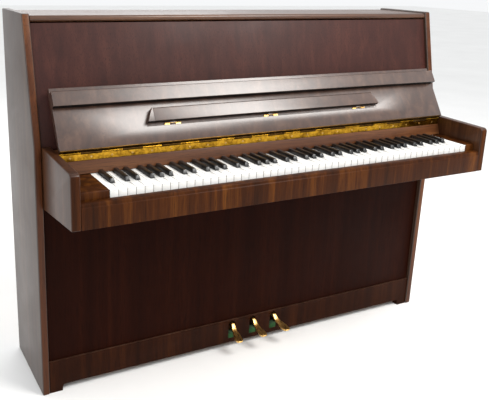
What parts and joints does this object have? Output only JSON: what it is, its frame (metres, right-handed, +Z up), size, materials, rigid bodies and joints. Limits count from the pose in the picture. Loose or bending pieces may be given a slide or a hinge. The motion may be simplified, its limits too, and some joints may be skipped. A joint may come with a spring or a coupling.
{
  "type": "upright piano",
  "caption": "Upright piano in red-brown lacquered wood with a fold-down keyboard cover, folding lip, music ledge, brass hinges and pedals.",
  "frame": {"origin": "centre of the footprint, on the floor", "axes": "+X from the bass end to the treble end, +Y from the player to the back, +Z up"},
  "size_m": [1.43, 0.563, 1.095],
  "materials": {
    "case_wood": "semi-gloss lacquer over red-brown veneer",
    "panel_wood": "semi-gloss lacquer, dark red-brown, upright grain",
    "rail_wood": "semi-gloss lacquer, upright grain",
    "board_wood": "polished lacquer with a grey sheen",
    "nameboard_wood": "satin, grain along its length",
    "inner_wood": "bare, unfinished",
    "spruce": "thin varnish",
    "iron": "bronze paint",
    "steel": "bright wire and pins",
    "copper": "copper-wound",
    "brass": "polished",
    "felt": "green wool felt",
    "white_felt": "pressed white felt",
    "key_white": "glossy white",
    "key_black": "glossy black"
  },
  "bodies": {
    "case": {"left_side": "case_wood", "right_side": "case_wood", "lid_hinge": "brass", "upper_panel": "panel_wood", "lower_panel": "panel_wood", "bottom_rail": "rail_wood", "bottom_board": "inner_wood", "back_frame": "inner_wood", "soundboard": "spruce", "ribs": "spruce", "bridges": "inner_wood", "iron_plate": "iron", "pinblock": "inner_wood", "tuning_pins": "steel", "bass_strings": "copper", "treble_strings": "steel", "key_bed": "inner_wood", "key_frame": "inner_wood", "key_pins": "steel", "felt_pads": "felt", "left_arm": "case_wood", "right_arm": "case_wood", "key_blocks": "case_wood", "key_slip": "case_wood", "hinge_rail": "nameboard_wood", "fallboard_hinge": "brass", "action_frame": "inner_wood"},
    "lid": {"top_lid": "case_wood", "lid_leaf": "brass"},
    "fallboard": {"fallboard": "board_wood", "fallboard_leaf": "brass", "board_hinges": "brass"},
    "lip": {"fallboard_lip": "board_wood"},
    "ledge": {"music_ledge": "board_wood"},
    "wippens": {"wippens": "inner_wood"},
    "hammers": {"hammers": "white_felt"},
    "hammer_rail": {"hammer_rail": "inner_wood"},
    "dampers": {"dampers": "white_felt"},
    "muffler": {"muffler_rail": "inner_wood"},
    "left_pedal": {"left_pedal": "brass"},
    "left_lever": {"left_lever": "inner_wood"},
    "left_rod": {"left_rod": "inner_wood"},
    "middle_pedal": {"middle_pedal": "brass"},
    "middle_lever": {"middle_lever": "inner_wood"},
    "middle_rod": {"middle_rod": "inner_wood"},
    "right_pedal": {"right_pedal": "brass"},
    "right_lever": {"right_lever": "inner_wood"},
    "right_rod": {"right_rod": "inner_wood"},
    "key_c4": {"key_c4": "key_white"},
    "key_d4": {"key_d4": "key_white"},
    "key_e4": {"key_e4": "key_white"},
    "key_f4": {"key_f4": "key_white"},
    "key_g4": {"key_g4": "key_white"},
    "key_a4": {"key_a4": "key_white"},
    "key_b4": {"key_b4": "key_white"},
    "bass_white_keys": {"bass_white_keys": "key_white"},
    "treble_white_keys": {"treble_white_keys": "key_white"},
    "bass_black_keys": {"bass_black_keys": "key_black"},
    "treble_black_keys": {"treble_black_keys": "key_black"},
    "middle_black_keys": {"middle_black_keys": "key_black"}
  },
  "joints": [
    {"name": "lid_hinge", "type": "hinge", "parent": "case", "child": "lid", "pos_m": [0, 0.2755, 1.087], "axis": [-1, 0, 0], "range_deg": [0, 105]},
    {"name": "fallboard_hinge", "type": "hinge", "parent": "case", "child": "fallboard", "pos_m": [0, -0.09404, 0.74628], "axis": [1, 0, 0], "range_deg": [0, 125]},
    {"name": "lip_hinge", "type": "hinge", "parent": "fallboard", "child": "lip", "pos_m": [0, -0.02271, 0.89439], "axis": [-1, 0, 0], "range_deg": [0, 91]},
    {"name": "ledge_hinge", "type": "hinge", "parent": "fallboard", "child": "ledge", "pos_m": [0, -0.08153, 0.80497], "axis": [-1, 0, 0], "range_deg": [-90, 0]},
    {"name": "key_c4_pivot", "type": "hinge", "parent": "case", "child": "key_c4", "pos_m": [0, -0.0355, 0.6676], "axis": [1, 0, 0], "range_deg": [0, 2.6], "stiffness_Nm_per_rad": 0.4, "springref_deg": -20.05},
    {"name": "key_d4_pivot", "type": "hinge", "parent": "case", "child": "key_d4", "pos_m": [0, -0.0355, 0.6676], "axis": [1, 0, 0], "range_deg": [0, 2.6], "stiffness_Nm_per_rad": 0.4, "springref_deg": -20.05},
    {"name": "key_e4_pivot", "type": "hinge", "parent": "case", "child": "key_e4", "pos_m": [0, -0.0355, 0.6676], "axis": [1, 0, 0], "range_deg": [0, 2.6], "stiffness_Nm_per_rad": 0.4, "springref_deg": -20.05},
    {"name": "key_f4_pivot", "type": "hinge", "parent": "case", "child": "key_f4", "pos_m": [0, -0.0355, 0.6676], "axis": [1, 0, 0], "range_deg": [0, 2.6], "stiffness_Nm_per_rad": 0.4, "springref_deg": -20.05},
    {"name": "key_g4_pivot", "type": "hinge", "parent": "case", "child": "key_g4", "pos_m": [0, -0.0355, 0.6676], "axis": [1, 0, 0], "range_deg": [0, 2.6], "stiffness_Nm_per_rad": 0.4, "springref_deg": -20.05},
    {"name": "key_a4_pivot", "type": "hinge", "parent": "case", "child": "key_a4", "pos_m": [0, -0.0355, 0.6676], "axis": [1, 0, 0], "range_deg": [0, 2.6], "stiffness_Nm_per_rad": 0.4, "springref_deg": -20.05},
    {"name": "key_b4_pivot", "type": "hinge", "parent": "case", "child": "key_b4", "pos_m": [0, -0.0355, 0.6676], "axis": [1, 0, 0], "range_deg": [0, 2.6], "stiffness_Nm_per_rad": 0.4, "springref_deg": -20.05},
    {"name": "bass_white_keys_pivot", "type": "hinge", "parent": "case", "child": "bass_white_keys", "pos_m": [0, -0.0355, 0.6676], "axis": [1, 0, 0], "range_deg": [0, 2.6], "stiffness_Nm_per_rad": 9.2, "springref_deg": -20.05},
    {"name": "treble_white_keys_pivot", "type": "hinge", "parent": "case", "child": "treble_white_keys", "pos_m": [0, -0.0355, 0.6676], "axis": [1, 0, 0], "range_deg": [0, 2.6], "stiffness_Nm_per_rad": 8.8, "springref_deg": -20.05},
    {"name": "bass_black_keys_pivot", "type": "hinge", "parent": "case", "child": "bass_black_keys", "pos_m": [0, -0.0355, 0.6676], "axis": [1, 0, 0], "range_deg": [0, 2.6], "stiffness_Nm_per_rad": 6.4, "springref_deg": -20.05},
    {"name": "treble_black_keys_pivot", "type": "hinge", "parent": "case", "child": "treble_black_keys", "pos_m": [0, -0.0355, 0.6676], "axis": [1, 0, 0], "range_deg": [0, 2.6], "stiffness_Nm_per_rad": 6, "springref_deg": -20.05},
    {"name": "middle_black_keys_pivot", "type": "hinge", "parent": "case", "child": "middle_black_keys", "pos_m": [0, -0.0355, 0.6676], "axis": [1, 0, 0], "range_deg": [0, 2.6], "stiffness_Nm_per_rad": 2, "springref_deg": -20.05},
    {"name": "wippen_pivot", "type": "hinge", "parent": "case", "child": "wippens", "pos_m": [0, 0.1205, 0.7045], "axis": [-1, 0, 0], "range_deg": [0, 3]},
    {"name": "left_pedal_pivot", "type": "hinge", "parent": "case", "child": "left_pedal", "pos_m": [-0.078, 0.0535, 0.086], "axis": [1, 0, 0], "range_deg": [0, 7], "stiffness_Nm_per_rad": 10, "springref_deg": -20.05},
    {"name": "left_lever_pivot", "type": "hinge", "parent": "case", "child": "left_lever", "pos_m": [0.64, 0.0785, 0.114], "axis": [0, 1, 0], "range_deg": [0, 0.249]},
    {"name": "left_rod_slide", "type": "slide", "parent": "case", "child": "left_rod", "axis": [0, 0, 1], "range_m": [0, 0.0055]},
    {"name": "middle_pedal_pivot", "type": "hinge", "parent": "case", "child": "middle_pedal", "pos_m": [0.003, 0.0775, 0.086], "axis": [1, 0, 0], "range_deg": [0, 6.3], "stiffness_Nm_per_rad": 10, "springref_deg": -20.05},
    {"name": "middle_lever_pivot", "type": "hinge", "parent": "case", "child": "middle_lever", "pos_m": [0.64, 0.1025, 0.114], "axis": [0, 1, 0], "range_deg": [0, 0.252]},
    {"name": "middle_rod_slide", "type": "slide", "parent": "case", "child": "middle_rod", "axis": [0, 0, 1], "range_m": [0, 0.0057]},
    {"name": "right_pedal_pivot", "type": "hinge", "parent": "case", "child": "right_pedal", "pos_m": [0.084, 0.1435, 0.086], "axis": [1, 0, 0], "range_deg": [0, 5.3], "stiffness_Nm_per_rad": 10, "springref_deg": -20.05},
    {"name": "right_lever_pivot", "type": "hinge", "parent": "case", "child": "right_lever", "pos_m": [0.64, 0.1585, 0.114], "axis": [0, 1, 0], "range_deg": [0, 0.148]},
    {"name": "right_rod_slide", "type": "slide", "parent": "case", "child": "right_rod", "axis": [0, 0, 1], "range_m": [0, 0.0034]},
    {"name": "hammer_rail_pivot", "type": "hinge", "parent": "case", "child": "hammer_rail", "pos_m": [0, 0.1125, 0.776], "axis": [-1, 0, 0], "range_deg": [0, 9]},
    {"name": "hammer_pivot", "type": "hinge", "parent": "case", "child": "hammers", "pos_m": [0, 0.1125, 0.776], "axis": [-1, 0, 0], "range_deg": [0, 9]},
    {"name": "damper_pivot", "type": "hinge", "parent": "case", "child": "dampers", "pos_m": [0, 0.1425, 0.746], "axis": [1, 0, 0], "range_deg": [0, 4]},
    {"name": "muffler_slide", "type": "slide", "parent": "case", "child": "muffler", "axis": [0, 0, -1], "range_m": [0, 0.035]}
  ],
  "couplings": [
    {"joint": "left_lever_pivot", "follows": "left_pedal_pivot", "ratio": 0.03482},
    {"joint": "left_rod_slide", "follows": "left_pedal_pivot", "m_per_rad": 0.04359},
    {"joint": "middle_lever_pivot", "follows": "middle_pedal_pivot", "ratio": 0.03925},
    {"joint": "middle_rod_slide", "follows": "middle_pedal_pivot", "m_per_rad": 0.05008},
    {"joint": "right_lever_pivot", "follows": "right_pedal_pivot", "ratio": 0.02698},
    {"joint": "right_rod_slide", "follows": "right_pedal_pivot", "m_per_rad": 0.03507},
    {"joint": "hammer_rail_pivot", "follows": "left_pedal_pivot", "ratio": 1.28},
    {"joint": "hammer_pivot", "follows": "left_pedal_pivot", "ratio": 1.28},
    {"joint": "damper_pivot", "follows": "right_pedal_pivot", "ratio": 0.75},
    {"joint": "muffler_slide", "follows": "middle_pedal_pivot", "m_per_rad": 0.318}
  ]
}
